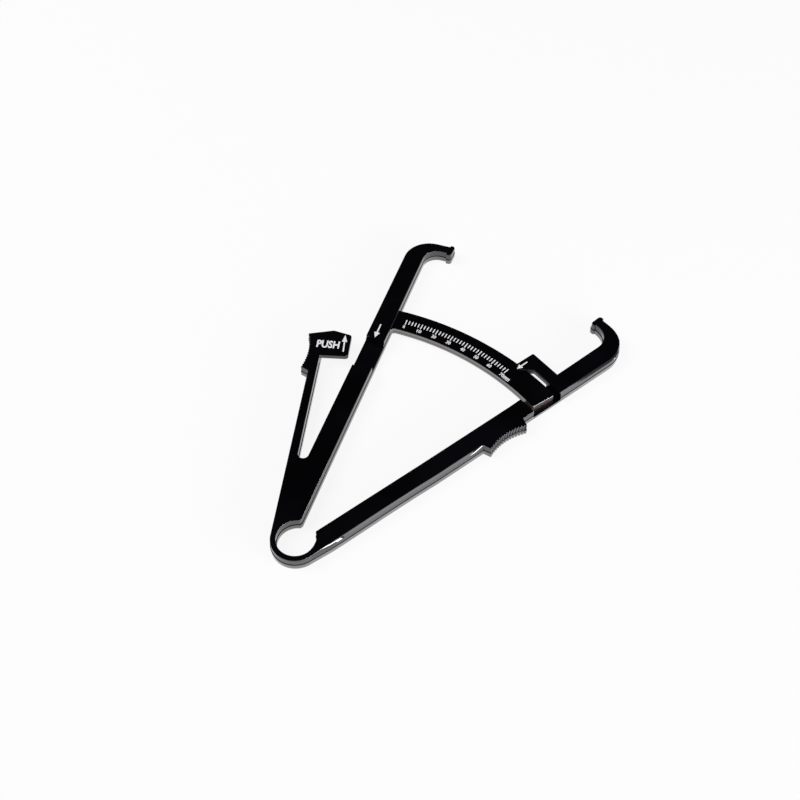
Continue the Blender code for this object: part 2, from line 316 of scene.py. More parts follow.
@dataclass(frozen=True)
class WallProfile:
    """Section of a moulded wall, drafted both ways from its parting line.

    Attributes:
        draft: Lean of each half, in metres.
        edge: Radius of the rounded edge, in metres.
        facets: Facets of that rounding.
        growth: How much wider than drawn the parting line lies, in metres.
        chamfer: Height under the cap at which a chamfer can start, in metres.
        parting: Share of the height that lies under the parting line.
        ledge: How far the lower half stands out from the upper one, in metres.
        edge_limit: Most of a half's height that its rounded edge can take.
        merge: Distance at which vertices of the two halves are merged, in metres.
    """

    draft: float = 0.05 * MM
    edge: float = 0.12 * MM
    facets: int = 3
    growth: float = 0.27 * MM
    chamfer: float = 0.75 * MM
    parting: float = 0.46
    ledge: float = 0.17 * MM
    edge_limit: float = 0.4
    merge: float = 0.002 * MM

    def raise_half(self, mesh: Mesh, faces: list, height: float) -> None:
        """Raises one half of a slab from its flat faces, along their normal.

        Args:
            mesh: Mesh that holds the faces.
            faces: Flat faces, moved up as the cap.
            height: From the parting line to the cap, in metres.
        """
        edge = min(self.edge, height * self.edge_limit)
        share = 1 - self.chamfer / height
        self.step(mesh, faces, self.draft * share, height * share)
        self.step(mesh, faces, self.draft * (1 - share), height * (1 - share) - edge)
        for facet in range(self.facets):
            low = math.radians(90) * facet / self.facets
            high = math.radians(90) * (facet + 1) / self.facets
            inward = edge * (math.cos(low) - math.cos(high))
            upward = edge * (math.sin(high) - math.sin(low))
            self.step(mesh, faces, inward, upward)

    @staticmethod
    def step(mesh: Mesh, faces: list, inward: float, upward: float) -> None:
        """Insets faces and lifts them along their normal.

        Args:
            mesh: Mesh that holds the faces.
            faces: The faces.
            inward: How far they are inset, in metres.
            upward: How far they are lifted, in metres.
        """
        bmesh.ops.inset_region(
            mesh,
            faces=faces,
            thickness=inward,
            depth=upward,
            use_boundary=True,
            use_even_offset=True,
        )

    def grow(self, mesh: Mesh) -> None:
        """Widens a flat outline, so that the drafted cap keeps the drawn size.

        Args:
            mesh: Mesh whose faces are the outline.
        """
        made = bmesh.ops.inset_region(
            mesh,
            faces=mesh.faces[:],
            thickness=-self.growth,
            use_boundary=True,
            use_even_offset=True,
        )
        bmesh.ops.delete(mesh, geom=made["faces"], context="FACES")

    def slab(self, mesh: Mesh, bottom: float, top: float) -> None:
        """Turns a flat outline into a closed slab with drafted, rounded walls.

        Args:
            mesh: Mesh whose faces are the outline at height zero.
            bottom: Height of the underside, in metres.
            top: Height of the top, in metres.
        """
        lower_half = (top - bottom) * self.parting
        self.grow(mesh)
        upper = mesh.faces[:]
        copied = bmesh.ops.duplicate(mesh, geom=upper)
        lower = only(copied["geom"], bmesh.types.BMFace)
        bmesh.ops.reverse_faces(mesh, faces=lower)
        if self.ledge:
            self.step(mesh, upper, self.ledge, 0.0)
        self.raise_half(mesh, upper, top - bottom - lower_half)
        self.raise_half(mesh, lower, lower_half)
        bmesh.ops.remove_doubles(mesh, verts=mesh.verts[:], dist=self.merge)
        bmesh.ops.translate(mesh, verts=mesh.verts[:], vec=(0, 0, bottom + lower_half))


def finish_mesh(name: str, mesh: Mesh, materials: Sequence[Material]) -> bpy.types.Object:
    """Makes a piece of a mesh, flat on its caps and smooth over its rounded edges.

    Args:
        name: Name of the piece.
        mesh: Its mesh, freed here.
        materials: Its materials, those of its caps and its walls where it has two.

    Returns:
        The piece, linked to the scene.
    """
    data = bpy.data.meshes.new(name)
    mesh.to_mesh(data)
    mesh.free()
    for material in materials:
        data.materials.append(material)
    piece = bpy.data.objects.new(name, data)
    bpy.context.scene.collection.objects.link(piece)
    if len(materials) > 1:
        for polygon in data.polygons:
            is_top = abs(polygon.normal.z) > STEEPEST_TOP
            polygon.material_index = Skin.TOP.value if is_top else Skin.WALL.value
    shade(piece)
    return piece


def shade(piece: bpy.types.Object) -> None:
    """Sets flat caps, smooth roundings and sharp corners.

    Args:
        piece: The piece that is set.
    """
    data = piece.data
    data.set_sharp_from_angle(angle=SHARP_ANGLE)
    for polygon in data.polygons:
        polygon.use_smooth = abs(polygon.normal.z) < FLAT_CAP
    data.update()


def carve(piece: bpy.types.Object, cutter_mesh: Mesh) -> None:
    """Cuts a shape out of a piece, whose new faces take the first material slot.

    Args:
        piece: Piece that is cut.
        cutter_mesh: Closed mesh of what is taken away, freed here.
    """
    data = bpy.data.meshes.new("cutter")
    cutter_mesh.to_mesh(data)
    cutter_mesh.free()
    cutter = bpy.data.objects.new("cutter", data)
    bpy.context.scene.collection.objects.link(cutter)
    modifier = piece.modifiers.new("carve", "BOOLEAN")
    modifier.operation = "DIFFERENCE"
    modifier.solver = "EXACT"
    modifier.object = cutter
    graph = bpy.context.evaluated_depsgraph_get()
    carved = bpy.data.meshes.new_from_object(piece.evaluated_get(graph))
    piece.modifiers.clear()
    old, piece.data = piece.data, carved
    carved.name = piece.name
    bpy.data.meshes.remove(old)
    bpy.data.objects.remove(cutter)
    bpy.data.meshes.remove(data)
    shade(piece)


def prism_cutter(spots: Sequence[Point], bottom: float, top: float, flare: float) -> Mesh:
    """Makes a straight prism that widens where it breaks through a surface.

    Args:
        spots: Corners of its outline at the surface.
        bottom: Height of its closed end, in metres.
        top: Height of the surface, over or under that end.
        flare: Chamfer that it leaves on the rim, in metres.

    Returns:
        The closed mesh of the prism.
    """
    pen = OutlinePen(spots[0])
    for spot in spots[1:]:
        pen.line(spot)
    mesh = pen.fill()
    overrun = 1 * MM
    beyond = top + math.copysign(overrun, top - bottom)
    bmesh.ops.translate(mesh, verts=mesh.verts[:], vec=(0, 0, beyond))
    cap = mesh.faces[:]
    if top < bottom:
        bmesh.ops.reverse_faces(mesh, faces=cap)
    copied = bmesh.ops.duplicate(mesh, geom=cap)
    moving = only(copied["geom"], bmesh.types.BMFace)
    bmesh.ops.reverse_faces(mesh, faces=moving)
    depth = abs(top - bottom)
    for inward, onward in ((0.0, abs(beyond - top)), (flare, flare), (0.0, depth - flare)):
        WallProfile.step(mesh, moving, inward, onward)
    bmesh.ops.remove_doubles(mesh, verts=mesh.verts[:], dist=MERGE_DISTANCE)
    return mesh


def rectangle(frame: ArmFrame, alongs: Point, outs: Point) -> list[Point]:
    """Finds the corners of a rectangle in an arm's frame.

    Args:
        frame: The arm's frame.
        alongs: Where it starts and ends along the arm, in millimetres.
        outs: Where it starts and ends outwards, in millimetres.

    Returns:
        The four corners in order, in metres.
    """
    return [
        frame.place(alongs[0], outs[0]),
        frame.place(alongs[0], outs[1]),
        frame.place(alongs[1], outs[1]),
        frame.place(alongs[1], outs[0]),
    ]


def socket(group: Tree, name: str, way: str, value: float | None = None) -> None:
    """Adds a named number socket to a node group.

    Args:
        group: The node group.
        name: Name of the socket.
        way: INPUT or OUTPUT.
        value: Its value where nothing is joined to it.
    """
    made = group.interface.new_socket(name=name, in_out=way, socket_type="NodeSocketFloat")
    if value is not None:
        made.default_value = value


class NodeSheet:
    """Short ways to add and join nodes in one tree.

    Args:
        tree: Tree that the nodes go into.

    Attributes:
        colour_inputs: Where a Mix node keeps its two colours.
        colour_output: Where it gives the mixed one.
    """

    colour_inputs = slice(6, 8)
    colour_output = 2

    def __init__(self, tree: Tree) -> None:
        """Opens the sheet on a tree."""
        self.tree = tree

    def add(self, kind: str, **values: object) -> bpy.types.Node:
        """Adds a node.

        Args:
            kind: Its type.
            values: Properties that are set on it.

        Returns:
            The node.
        """
        node = self.tree.nodes.new(kind)
        for name, value in values.items():
            setattr(node, name, value)
        return node

    def join(self, source: Socket, target: Socket) -> None:
        """Joins two sockets."""
        self.tree.links.new(source, target)

    def feed(self, slot: Socket, value: object) -> None:
        """Gives an input its value.

        Args:
            slot: The input.
            value: A socket that is joined to it, a colour or a number.
        """
        if isinstance(value, Socket):
            self.join(value, slot)
        elif isinstance(value, tuple):
            slot.default_value = (*value, 1.0)
        else:
            slot.default_value = value

    def maths(self, operation: str, *values: object) -> Socket:
        """Adds a Math node.

        Args:
            operation: What it works out.
            values: Its inputs in order, as sockets or numbers.

        Returns:
            Its output.
        """
        node = self.add("ShaderNodeMath", operation=operation)
        for slot, value in zip(node.inputs, values):
            self.feed(slot, value)
        return node.outputs[0]

    def ramp(self, source: Socket, span: Point, goal: Point = (0.0, 1.0)) -> Socket:
        """Maps a range to another smoothly.

        Args:
            source: The value.
            span: Range that it is read in.
            goal: Range that it is mapped to.

        Returns:
            The mapped value.
        """
        node = self.add("ShaderNodeMapRange", interpolation_type="SMOOTHSTEP")
        self.join(source, node.inputs["Value"])
        for name, value in zip(("From Min", "From Max", "To Min", "To Max"), (*span, *goal)):
            node.inputs[name].default_value = value
        return node.outputs["Result"]

    def mix(self, factor: Socket, first: object, second: object) -> Socket:
        """Mixes two colours.

        Args:
            factor: Share of the second colour.
            first: First colour, or a socket that gives it.
            second: Second colour, or a socket that gives it.

        Returns:
            The mixed colour.
        """
        node = self.add("ShaderNodeMix", data_type="RGBA")
        self.join(factor, node.inputs["Factor"])
        for slot, value in zip(node.inputs[self.colour_inputs], (first, second)):
            self.feed(slot, value)
        return node.outputs[self.colour_output]

    def noise(self, vector: Socket, scale: object, detail: float) -> Socket:
        """Adds a Noise Texture.

        Args:
            vector: Coordinates that it is read at.
            scale: Its scale, as a socket or a number.
            detail: Its detail.

        Returns:
            Its strength.
        """
        node = self.add("ShaderNodeTexNoise")
        self.join(vector, node.inputs["Vector"])
        self.feed(node.inputs["Scale"], scale)
        node.inputs["Detail"].default_value = detail
        return node.outputs["Fac"]

    def relief(self, height: Socket, strength: float, distance: float) -> Socket:
        """Adds a Bump node.

        Args:
            height: Height of the relief.
            strength: Its strength.
            distance: Its depth, in metres.

        Returns:
            Its normal.
        """
        bump = self.add("ShaderNodeBump")
        bump.inputs["Strength"].default_value = strength
        bump.inputs["Distance"].default_value = distance
        self.join(height, bump.inputs["Height"])
        return bump.outputs["Normal"]


def new_material(name: str) -> tuple[Material, NodeSheet, bpy.types.Node]:
    """Makes a material with a plain shader.

    Args:
        name: Its name.

    Returns:
        The material, a sheet on its nodes and its shader.
    """
    material = bpy.data.materials.new(name)
    material.use_nodes = True
    return material, NodeSheet(material.node_tree), material.node_tree.nodes["Principled BSDF"]


@dataclass(frozen=True)
class MouldGrain:
    """Cloudiness, fine peel and handling marks of a moulded surface.

    Attributes:
        cloud_scale: Scale of the clouds where a finish gives none.
        cloud_detail: Their detail.
        cloud_span: Range that the clouds are read in.
        peel_scale: Scale of the peel where a finish gives none.
        peel_detail: Its detail.
        scuff_turn: Direction of the handling marks, in radians.
        scuff_stretch: Scale of the marks along each axis.
        scuff_detail: Their detail.
        scuff_span: Range that the marks are read in.
        scuff_patches: Range of the clouds in which the marks show.
    """

    cloud_scale: float = 45.0
    cloud_detail: float = 3.0
    cloud_span: Point = (0.35, 0.68)
    peel_scale: float = 900.0
    peel_detail: float = 1.5
    scuff_turn: float = math.radians(24)
    scuff_stretch: Triple = (90, 2600, 1)
    scuff_detail: float = 2.0
    scuff_span: Point = (0.66, 0.76)
    scuff_patches: Point = (0.5, 0.6)

    def group(self) -> Tree:
        """Builds the shared node group.

        Returns:
            The group.
        """
        group = bpy.data.node_groups.new("mould_grain", "ShaderNodeTree")
        socket(group, "Cloud Scale", "INPUT", self.cloud_scale)
        socket(group, "Peel Scale", "INPUT", self.peel_scale)
        for name in ("Cloud", "Peel", "Scuff"):
            socket(group, name, "OUTPUT")
        sheet = NodeSheet(group)
        given = sheet.add("NodeGroupInput").outputs
        result = sheet.add("NodeGroupOutput").inputs
        place = sheet.add("ShaderNodeTexCoord").outputs["Object"]
        cloud = sheet.noise(place, given["Cloud Scale"], self.cloud_detail)
        sheet.join(sheet.ramp(cloud, self.cloud_span), result["Cloud"])
        peel = sheet.noise(place, given["Peel Scale"], self.peel_detail)
        sheet.join(peel, result["Peel"])
        stretch = sheet.add("ShaderNodeMapping")
        stretch.inputs["Rotation"].default_value = (0, 0, self.scuff_turn)
        stretch.inputs["Scale"].default_value = self.scuff_stretch
        sheet.join(place, stretch.inputs["Vector"])
        scratch = sheet.noise(stretch.outputs["Vector"], 1.0, self.scuff_detail)
        fine = sheet.ramp(scratch, self.scuff_span)
        patches = sheet.ramp(cloud, self.scuff_patches)
        sheet.join(sheet.maths("MULTIPLY", fine, patches), result["Scuff"])
        return group


@dataclass(frozen=True)
class PartingBand:
    """A wall's parting line and the two drafted halves over and under it.

    Attributes:
        height: Height of the line where a finish gives none, in metres.
        half_width: Half of its width where a finish gives none, in metres.
        line_span: Shares of the half width at which the line starts and ends to fade.
        lower_span: The same for the lower half.
    """

    height: float = 2.6 * MM
    half_width: float = 0.22 * MM
    line_span: Point = (0.4, 1.1)
    lower_span: Point = (-1.5, 0.5)

    def group(self) -> Tree:
        """Builds the shared node group.

        Returns:
            The group.
        """
        group = bpy.data.node_groups.new("parting_band", "ShaderNodeTree")
        socket(group, "Height", "INPUT", self.height)
        socket(group, "Half Width", "INPUT", self.half_width)
        for name in ("Line", "Lower"):
            socket(group, name, "OUTPUT")
        sheet = NodeSheet(group)
        given = sheet.add("NodeGroupInput").outputs
        result = sheet.add("NodeGroupOutput").inputs
        axes = sheet.add("ShaderNodeSeparateXYZ")
        sheet.join(sheet.add("ShaderNodeTexCoord").outputs["Object"], axes.inputs[0])
        over = sheet.maths("SUBTRACT", axes.outputs["Z"], given["Height"])
        share = sheet.maths("DIVIDE", over, given["Half Width"])
        line = sheet.ramp(sheet.maths("ABSOLUTE", share), self.line_span, (1.0, 0.0))
        sheet.join(line, result["Line"])
        sheet.join(sheet.ramp(share, self.lower_span, (1.0, 0.0)), result["Lower"])
        return group


@dataclass(frozen=True)
class PolishedTop:
    """Glossy black face of the moulding.

    Attributes:
        deep: Its darkest colour.
        cloudy: Its colour where it is cloudy.
        roughness: Its roughness where it is clear and where it is cloudy.
        scuff: Roughness that the handling marks add.
        relief: Strength of its relief.
        relief_depth: Depth of the relief, in metres.
        ior: Its refraction index.
        specular: Its specular level.
    """

    deep: Colour = (0.0004, 0.0003, 0.0007)
    cloudy: Colour = (0.0018, 0.0014, 0.0026)
    roughness: Point = (0.12, 0.20)
    scuff: float = 0.14
    relief: float = 0.05
    relief_depth: float = 0.06 * MM
    ior: float = 1.50
    specular: float = 0.5

    def material(self, name: str, grain: Tree) -> Material:
        """Builds the material of this finish.

        Args:
            name: Its name.
            grain: The shared group for the moulded surface.

        Returns:
            The material.
        """
        material, sheet, shader = new_material(name)
        pattern = sheet.add("ShaderNodeGroup", node_tree=grain).outputs
        colour = sheet.mix(pattern["Cloud"], self.deep, self.cloudy)
        sheet.join(colour, shader.inputs["Base Color"])
        rough = sheet.ramp(pattern["Cloud"], (0.0, 1.0), self.roughness)
        scuffed = sheet.maths("MULTIPLY_ADD", pattern["Scuff"], self.scuff, rough)
        sheet.join(scuffed, shader.inputs["Roughness"])
        normal = sheet.relief(pattern["Peel"], self.relief, self.relief_depth)
        sheet.join(normal, shader.inputs["Normal"])
        shader.inputs["IOR"].default_value = self.ior
        shader.inputs["Specular IOR Level"].default_value = self.specular
        return material


@dataclass(frozen=True)
class WallWithPaintedReflection:
    """Wall of the moulding whose colour holds painted reflected light of the white table:
    lighter than the black top, and lighter still below its dark parting line, where its coat is
    also stronger.

    Attributes:
        upper: Colour above the parting line, painted lighter than the top as reflected light.
        lower: Colour below it, painted lighter still as reflected light from the table.
        line: Colour of the line.
        upper_shine: Strength of the added reflection above the line.
        lower_shine: Strength of the added reflection below it.
        shine_ior: Refraction index of that reflection.
        shine_roughness: Its roughness.
        height: Height of the line, in metres.
        half_width: Half of its width, in metres.
        cloudiness: How far the clouds draw the colour towards the upper one.
        roughness: Roughness at the low and at the high end of the peel.
        peel_span: Range that the peel is read in.
        relief: Strength of its relief.
        relief_depth: Depth of the relief, in metres.
        ior: Its refraction index.
        specular: Its specular level.
    """

    upper: Colour = (0.014, 0.013, 0.016)
    lower: Colour = (0.062, 0.057, 0.059)
    line: Colour = (0.002, 0.002, 0.002)
    upper_shine: float = 0.08
    lower_shine: float = 0.42
    shine_ior: float = 2.4
    shine_roughness: float = 0.08
    height: float = 2.38 * MM
    half_width: float = 0.30 * MM
    cloudiness: float = 0.35
    roughness: Point = (0.05, 0.09)
    peel_span: Point = (0.3, 0.7)
    relief: float = 0.05
    relief_depth: float = 0.08 * MM
    ior: float = 1.60
    specular: float = 0.6

    def material(self, name: str, grain: Tree, band: Tree) -> Material:
        """Builds the material of this finish.

        Args:
            name: Its name.
            grain: The shared group for the moulded surface.
            band: The shared group for the parting line.

        Returns:
            The material.
        """
        material, sheet, shader = new_material(name)
        pattern = sheet.add("ShaderNodeGroup", node_tree=grain).outputs
        parting = sheet.add("ShaderNodeGroup", node_tree=band)
        parting.inputs["Height"].default_value = self.height
        parting.inputs["Half Width"].default_value = self.half_width
        line, lower = parting.outputs["Line"], parting.outputs["Lower"]
        # Painted reflected light: the wall colour steps from the upper colour to the lighter
        # lower colour at the parting line.
        halves = sheet.mix(lower, self.upper, self.lower)
        clouds = sheet.maths("MULTIPLY", pattern["Cloud"], self.cloudiness)
        clouded = sheet.mix(clouds, halves, self.upper)
        sheet.join(sheet.mix(line, clouded, self.line), shader.inputs["Base Color"])
        rough = sheet.ramp(pattern["Peel"], self.peel_span, self.roughness)
        sheet.join(sheet.maths("MAXIMUM", rough, line), shader.inputs["Roughness"])
        shine = sheet.ramp(lower, (0.0, 1.0), (self.upper_shine, self.lower_shine))
        clear = sheet.ramp(line, (0.0, 1.0), (1.0, 0.0))
        sheet.join(sheet.maths("MULTIPLY", shine, clear), shader.inputs["Coat Weight"])
        shader.inputs["Coat IOR"].default_value = self.shine_ior
        shader.inputs["Coat Roughness"].default_value = self.shine_roughness
        groove = sheet.maths("MULTIPLY_ADD", line, -1.0, pattern["Peel"])
        normal = sheet.relief(groove, self.relief, self.relief_depth)
        sheet.join(normal, shader.inputs["Normal"])
        shader.inputs["IOR"].default_value = self.ior
        shader.inputs["Specular IOR Level"].default_value = self.specular
        return material


@dataclass(frozen=True)
class WhiteInk:
    """White pad-printed ink, a little thin in places.

    Attributes:
        full: Colour of the full film.
        thin: Colour where the film is thin.
        peel_scale: Scale of the thin places.
        thin_span: Range of the peel in which the film thins.
        most_thin: Greatest share of the thin colour.
        roughness: Its roughness where it is clear and where it is cloudy.
    """

    full: Colour = (0.90, 0.90, 0.92)
    thin: Colour = (0.70, 0.71, 0.75)
    peel_scale: float = 1600.0
    thin_span: Point = (0.52, 0.75)
    most_thin: float = 0.8
    roughness: Point = (0.42, 0.58)

    def material(self, name: str, grain: Tree) -> Material:
        """Builds the material of this finish.

        Args:
            name: Its name.
            grain: The shared group for the moulded surface.

        Returns:
            The material.
        """
        material, sheet, shader = new_material(name)
        pattern = sheet.add("ShaderNodeGroup", node_tree=grain)
        pattern.inputs["Peel Scale"].default_value = self.peel_scale
        wear = sheet.ramp(pattern.outputs["Peel"], self.thin_span, (0.0, self.most_thin))
        sheet.join(sheet.mix(wear, self.full, self.thin), shader.inputs["Base Color"])
        rough = sheet.ramp(pattern.outputs["Cloud"], (0.0, 1.0), self.roughness)
        sheet.join(rough, shader.inputs["Roughness"])
        return material


@dataclass
class Finishes:
    """All materials of the caliper."""

    top: Material
    wall: Material
    bar_wall: Material
    ink: Material

    @classmethod
    def make(cls) -> Finishes:
        """Builds every finish with the shared groups.

        Returns:
            The finishes.
        """
        grain = MouldGrain().group()
        band = PartingBand().group()
        return cls(
            top=PolishedTop().material("polished_black", grain),
            wall=WallWithPaintedReflection().material("wall_painted_reflection", grain, band),
            # Painted reflected light of the white table: the bar's walls are coloured
            # beige-grey, far lighter than its black top, and lighter above the parting line than
            # below.
            bar_wall=WallWithPaintedReflection(
                upper=(0.050, 0.038, 0.034),
                lower=(0.040, 0.031, 0.028),
                line=(0.030, 0.023, 0.020),
                upper_shine=0.7,
                lower_shine=0.55,
                height=2.9 * MM,
                half_width=0.18 * MM,
            ).material("bar_wall_painted_reflection", grain, band),
            ink=WhiteInk().material("white_ink", grain),
        )

    @property
    def moulded(self) -> tuple[Material, Material]:
        """Materials of a moulded piece in slot order."""
        return self.top, self.wall

    @property
    def bar(self) -> tuple[Material, Material]:
        """Materials of the scale bar in slot order."""
        return self.top, self.bar_wall


@dataclass(frozen=True)
class Layout:
    """Where the arms lie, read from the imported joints."""

    pivot: Point
    left: ArmFrame
    right: ArmFrame
    lever: ArmFrame

    @classmethod
    def read(cls, joints: Sequence[dict]) -> Layout:
        """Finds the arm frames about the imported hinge.

        Args:
            joints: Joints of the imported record.

        Returns:
            The layout.
        """
        hinge = next(joint for joint in joints if joint["name"] == "arm_hinge")
        pivot = (hinge["pos_m"][0], hinge["pos_m"][1])
        yaw = math.pi / 2 + HALF_OPENING
        return cls(
            pivot=pivot,
            left=ArmFrame(pivot, yaw),
            right=ArmFrame(pivot, math.pi / 2 - HALF_OPENING, -1),
            lever=ArmFrame(pivot, yaw + LEVER_ANGLE),
        )

    def frame(self, body: Body) -> ArmFrame:
        """Returns the arm frame of a body."""
        return {Body.LEFT: self.left, Body.RIGHT: self.right, Body.LEVER: self.lever}[body]


@dataclass(frozen=True)
class Jaw:
    """Sizes of one arm's hook and of the rounded foot that it carries, in millimetres.

    Attributes:
        length: From the pivot along the arm to the hook's far edge.
        inner_round: Radius inside the hook.
        outer_round: Radius round its back.
        foot_far: From the pivot along the closing line to the foot's far end.
        foot_back: Offset of the foot's face from the closing line.
        foot_near: From the pivot along the closing line to the foot's near end.
        width: Width of the hook.
        foot_depth: From the foot's face to its back.
        face_round: Radius of the face's corners.
        back_round: Radius of the back's corners.
        root_round: Radius where the hook meets the foot.
    """

    length: float
    inner_round: float
    outer_round: float
    foot_far: float
    foot_back: float
    foot_near: float = 154.6
    width: float = 4.0
    foot_depth: float = 2.05
    face_round: float = 1.1
    back_round: float = 0.42
    root_round: float = 0.3

    def corners(self, lean: float, inner: float, outer: float) -> list[Corner]:
        """Finds the corners from the arm's inner edge to its outer one.

        Args:
            lean: Angle from the arm to the closing line, in radians.
            inner: Offset of the arm's inner edge.
            outer: Offset of the arm's outer edge.

        Returns:
            The corners in order.
        """
        back = self.foot_back
        front = back + self.foot_depth
        foot = [
            Corner(
                along * math.cos(lean) - out * math.sin(lean),
                along * math.sin(lean) + out * math.cos(lean),
                radius,
            )
            for along, out, radius in (
                (self.foot_near, front, self.back_round),
                (self.foot_near, back, self.face_round),
                (self.foot_far, back, self.face_round),
                (self.foot_far, front, self.back_round),
            )
        ]
        hook = self.length - self.width
        return [
            Corner(hook, inner, self.inner_round),
            Corner(hook, foot[0].out, self.root_round),
            *foot,
            Corner(self.length, foot[-1].out, self.root_round),
            Corner(self.length, outer, self.outer_round),
        ]


@dataclass
class Moulding:
    """The black moulding that holds all the flat pieces of full thickness.

    Sizes are in millimetres in the frame of their own arm.
    """

    layout: Layout
    finishes: Finishes
    bottom: float = 0.0
    top: float = MOULDING_TOP
    half_opening: float = HALF_OPENING
    closing: float = math.radians(25.9)
    lever_angle: float = LEVER_ANGLE
    bore: float = 7.2
    root_turn: float = math.radians(4)
    left_root_lead: float = 0.6
    right_root_lead: float = 0.1
    join_slack: float = 1e-6
    slot_steps: int = 14
    ring_steps: int = 26
    left_bore_steps: int = 18
    right_bore_steps: int = 14
    ring_outer: float = 9.1
    left_inner: float = LEFT_INNER
    left_outer: float = 9.1
    right_inner: float = 2.5
    right_root_inner: float = 2.12
    right_taper: float = 55.0
    right_outer: float = 10.4
    right_fore_inner: float = 1.5
    right_fore_outer: float = 10.0
    right_shoulder_outer: float = 9.95
    left_jaw: Jaw = Jaw(
        length=159.5, inner_round=6.6, outer_round=11.3, foot_far=160.6, foot_back=0.15
    )
    right_jaw: Jaw = Jaw(
        length=159.2, inner_round=8.0, outer_round=13.6, foot_far=160.25, foot_back=0.50
    )
    soft_round: float = 0.3
    slot_round: float = 2.1
    leaf_thickness: float = 3.2
    leaf_steps: int = 16
    leaf_foot_steps: int = 6
    block_start: float = 76.2
    block_heel: float = 0.2
    plate_start: float = 84.85
    plate_start_skew: float = math.radians(3.0)
    plate_end: float = 96.9
    plate_crest: float = 98.8
    plate_crest_out: float = 2.1
    plate_reach: float = 5.5
    plate_thickness: float = 1.7
    plate_round: float = 1.2
    plate_root_round: float = 0.4
    plate_crest_round: float = 2.0
    block_rest_start: float = 78.3
    block_rest_height: float = 3.1
    block_rest_hollow: float = 1.35
    rest_length: float = 17.4
    rest_height: float = 2.8
    rest_hollow: float = 1.6
    rest_spur: float = 1.4
    crest_width: float = 0.3
    ribs: int = 13
    rib_depth: float = 0.38
    rib_gap: float = 0.40
    rib_steps: int = 6
    grip_start: float = 79.6
    channel_near: float = 103.9
    channel_far: float = 118.5
    channel_floor: float = 1.3
    channel_inset: float = 4.0
    channel_margin: float = 3.0
    fore_lead: float = 5.9
    flag_width: float = 5.4
    flag_length: float = 12.0
    flag_tab_corner: float = 3.8
    flag_tip_reach: float = 5.4
    flag_tip_back: float = 1.8
    flag_tab_width: float = 6.8
    flag_round: float = 0.6
    flag_tip_round: float = 0.25
    flag_thickness: float = 0.55
    flag_body_thickness: float = 2.4
    flag_clear: float = 116.95
    flag_root: float = 4.0
    passage_degrees: range = range(2, -9, -1)
    passage_chamfer: float = 0.05
    swell: tuple[Point, ...] = (
        (4.0, 9.4),
        (8.0, 9.7),
        (14.0, 9.82),
        (32.0, 9.87),
        (46.0, 10.05),
        (56.0, 10.35),
        (70.0, 10.4),
    )
    chamfer_width: float = 0.72
    chamfer_stop: float = 0.9
    chamfer_run_in: float = 8.0
    chamfer_from: float = 5.0
    chamfer_rise: float = 3.0
    recess_start: float = 82.2
    recess_start_skew: float = math.radians(-6.0)
    recess_end: float = 96.8
    recess_end_skew: float = math.radians(8.3)
    recess_depth: float = 2.4
    ledge_depth: float = 1.5
    ledge_width: float = 0.8
    rim_chamfer: float = 0.12
    cut_margin: float = 2.0
    long_arm_area: float = 5e-4
    pieces: dict[Part, bpy.types.Object] = field(default_factory=dict)

    @property
    def lean(self) -> float:
        """Angle from an arm to the line where the feet meet, in radians."""
        return self.closing / 2 - self.half_opening

    def slot_centre(self) -> Point:
        """Finds the centre of the slot's round end.

        Returns:
            The centre in the left arm's frame, in millimetres.
        """
        out = self.left_outer + self.slot_round
        side = self.ring_outer - self.leaf_thickness - self.slot_round
        return (out * math.cos(self.lever_angle) - side) / math.sin(self.lever_angle), out

    def leaf_root(self) -> float:
        """Returns how far along the leaf its root lies."""
        along, out = self.slot_centre()
        return along * math.cos(self.lever_angle) + out * math.sin(self.lever_angle)

    def draw_rest(
        self, pen: OutlinePen, frame: ArmFrame, start: Point, end: Point, depth: float
    ) -> None:
        """Draws a hollow thumb rest of round ribs between two crests.

        Args:
            pen: Pen at the first crest.
            frame: Arm frame of the rest.
            start: First crest, along and out.
            end: Last crest, along and out.
            depth: Depth of the hollow at its middle.
        """
        def base(rib: float) -> Point:
            """Finds where a rib meets the hollow.

            Args:
                rib: Its number, with the gap before it as a fraction.

            Returns:
                The point, in metres.
            """
            share = rib / (self.ribs + self.rib_gap)
            along = start[0] + (end[0] - start[0]) * share
            out = start[1] - 4 * depth * share * (1 - share) - self.rib_depth
            return frame.place(along, out)

        pen.line(base(0))
        for rib in range(self.ribs):
            pen.line(base(rib + self.rib_gap))
            pen.bulge(base(rib + 1), self.rib_depth * MM, self.rib_steps)
        pen.line(base(self.ribs + self.rib_gap))
        pen.line(frame.place(*end))

    def draw_left(self, pen: OutlinePen) -> None:
        """Draws the left arm from its root at the bore to the slot's far side.

        Args:
            pen: Pen at the start of this stretch.
        """
        left = self.layout.left
        centre_along, centre_out = self.slot_centre()
        pen.corners(left, [
            Corner(self.bore + self.left_root_lead, self.left_inner),
            *self.left_jaw.corners(self.lean, self.left_inner, self.left_outer),
            Corner(centre_along, self.left_outer),
        ])
        turn = math.pi / 2 - self.lever_angle + math.pi / 2
        pen.sweep(left.place(centre_along, centre_out), -turn, self.slot_steps)

